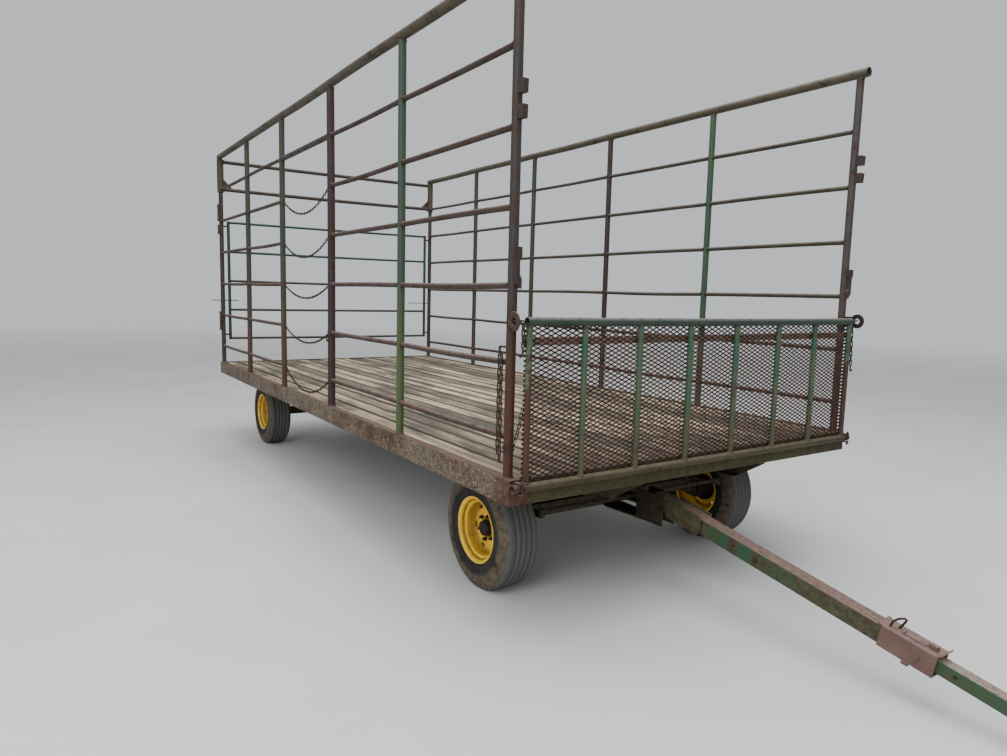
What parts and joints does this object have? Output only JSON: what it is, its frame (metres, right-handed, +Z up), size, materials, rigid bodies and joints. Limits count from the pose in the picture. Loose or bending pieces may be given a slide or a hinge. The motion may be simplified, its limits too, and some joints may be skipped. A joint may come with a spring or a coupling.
{
  "type": "hay wagon",
  "caption": "Flat-deck farm wagon with pipe side racks, a front drop gate, a rear gate and a steered front axle pulled by a telescoping tongue.",
  "frame": {"origin": "on the ground, below the middle of the whole wagon with its tongue", "axes": "+X forward towards the tongue, +Y to the wagon's left, +Z up"},
  "size_m": [8.3444, 2.845, 3.253],
  "materials": {
    "deck_steel": "rusty, lichen spotted",
    "rack_steel": "brown rust over old paint",
    "gate_paint": "faded green paint",
    "mesh_steel": "rusty",
    "chain_steel": "dark, rusty",
    "deck_wood": "weathered grey",
    "gear_steel": "dirty olive and brown",
    "tongue_paint": "flaking green over rust",
    "tyre": "dusty",
    "rim_paint": "yellow, worn",
    "hub_iron": "greasy dark"
  },
  "bodies": {
    "wagon": {"side_channels": "deck_steel", "end_channels": "deck_steel", "cross_members": "deck_steel", "main_sills": "gear_steel", "deck_planks": "deck_wood", "right_posts": "rack_steel", "left_posts": "rack_steel", "top_rails": "rack_steel", "right_rails": "rack_steel", "left_rails": "rack_steel", "rear_rails": "rack_steel", "rear_gate_stubs": "rack_steel", "doorway_chains": "chain_steel", "gate_hinges": "deck_steel", "gate_latches": "rack_steel", "front_axle": "gear_steel", "rear_axle": "gear_steel", "front_bolster": "gear_steel", "rear_bolster": "gear_steel", "reach_pole": "gear_steel", "reach_hounds": "gear_steel"},
    "steering": {"steering_yoke": "gear_steel"},
    "knuckle_right": {"knuckle_right": "gear_steel"},
    "knuckle_left": {"knuckle_left": "gear_steel"},
    "tie_rod_right": {"tie_rod_right": "gear_steel"},
    "tie_rod_left": {"tie_rod_left": "gear_steel"},
    "tongue": {"tongue_tube": "tongue_paint", "tongue_latch": "tongue_paint"},
    "drawbar": {"drawbar": "tongue_paint", "hitch_clevis": "tongue_paint"},
    "drop_gate": {"drop_gate": "gate_paint", "drop_gate_mesh": "mesh_steel", "drop_gate_strap": "mesh_steel"},
    "rear_gate": {"rear_gate": "gate_paint"},
    "front_right_wheel": {"front_right_tyre": "tyre", "front_right_rim": "rim_paint", "front_right_hub": "hub_iron"},
    "front_left_wheel": {"front_left_tyre": "tyre", "front_left_rim": "rim_paint", "front_left_hub": "hub_iron"},
    "rear_right_wheel": {"rear_right_tyre": "tyre", "rear_right_rim": "rim_paint", "rear_right_hub": "hub_iron"},
    "rear_left_wheel": {"rear_left_tyre": "tyre", "rear_left_rim": "rim_paint", "rear_left_hub": "hub_iron"}
  },
  "joints": [
    {"name": "steer", "type": "hinge", "parent": "wagon", "child": "steering", "pos_m": [1.11681, 0, 0.42], "axis": [0, 0, 1], "range_deg": [-30, 30]},
    {"name": "steer_right", "type": "hinge", "parent": "wagon", "child": "knuckle_right", "pos_m": [1.11681, -0.74, 0.42], "axis": [0, 0, 1], "range_deg": [-30, 30]},
    {"name": "steer_left", "type": "hinge", "parent": "wagon", "child": "knuckle_left", "pos_m": [1.11681, 0.74, 0.42], "axis": [0, 0, 1], "range_deg": [-30, 30]},
    {"name": "tie_rod_right_swing", "type": "hinge", "parent": "steering", "child": "tie_rod_right", "pos_m": [1.37681, -0.026, 0.4926], "axis": [0, 0, 1], "range_deg": [-30, 30]},
    {"name": "tie_rod_left_swing", "type": "hinge", "parent": "steering", "child": "tie_rod_left", "pos_m": [1.37681, 0.026, 0.4926], "axis": [0, 0, 1], "range_deg": [-30, 30]},
    {"name": "front_right_spin", "type": "hinge", "parent": "knuckle_right", "child": "front_right_wheel", "pos_m": [1.11681, -0.949, 0.356], "axis": [0, 1, 0], "continuous": true},
    {"name": "front_left_spin", "type": "hinge", "parent": "knuckle_left", "child": "front_left_wheel", "pos_m": [1.11681, 0.949, 0.356], "axis": [0, 1, 0], "continuous": true},
    {"name": "rear_right_spin", "type": "hinge", "parent": "wagon", "child": "rear_right_wheel", "pos_m": [-3.5562, -0.949, 0.356], "axis": [0, 1, 0], "continuous": true},
    {"name": "rear_left_spin", "type": "hinge", "parent": "wagon", "child": "rear_left_wheel", "pos_m": [-3.5562, 0.949, 0.356], "axis": [0, 1, 0], "continuous": true},
    {"name": "tongue_lift", "type": "hinge", "parent": "steering", "child": "tongue", "pos_m": [1.6078, 0, 0.51], "axis": [0, 1, 0], "range_deg": [-30, 0]},
    {"name": "drawbar_slide", "type": "slide", "parent": "tongue", "child": "drawbar", "axis": [0.9835, 0, -0.1809], "range_m": [-0.3, 0]},
    {"name": "drop_gate_fold", "type": "hinge", "parent": "wagon", "child": "drop_gate", "pos_m": [1.94781, 0, 0.847], "axis": [0, 1, 0], "range_deg": [0, 115]},
    {"name": "rear_gate_swing", "type": "hinge", "parent": "wagon", "child": "rear_gate", "pos_m": [-4.11219, -1.2665, 1.164], "axis": [0, 0, 1], "range_deg": [0, 110]}
  ],
  "couplings": [
    {"joint": "steer_right", "follows": "steer", "ratio": 1},
    {"joint": "steer_left", "follows": "steer", "ratio": 1},
    {"joint": "tie_rod_right_swing", "follows": "steer", "ratio": -1},
    {"joint": "tie_rod_left_swing", "follows": "steer", "ratio": -1}
  ]
}
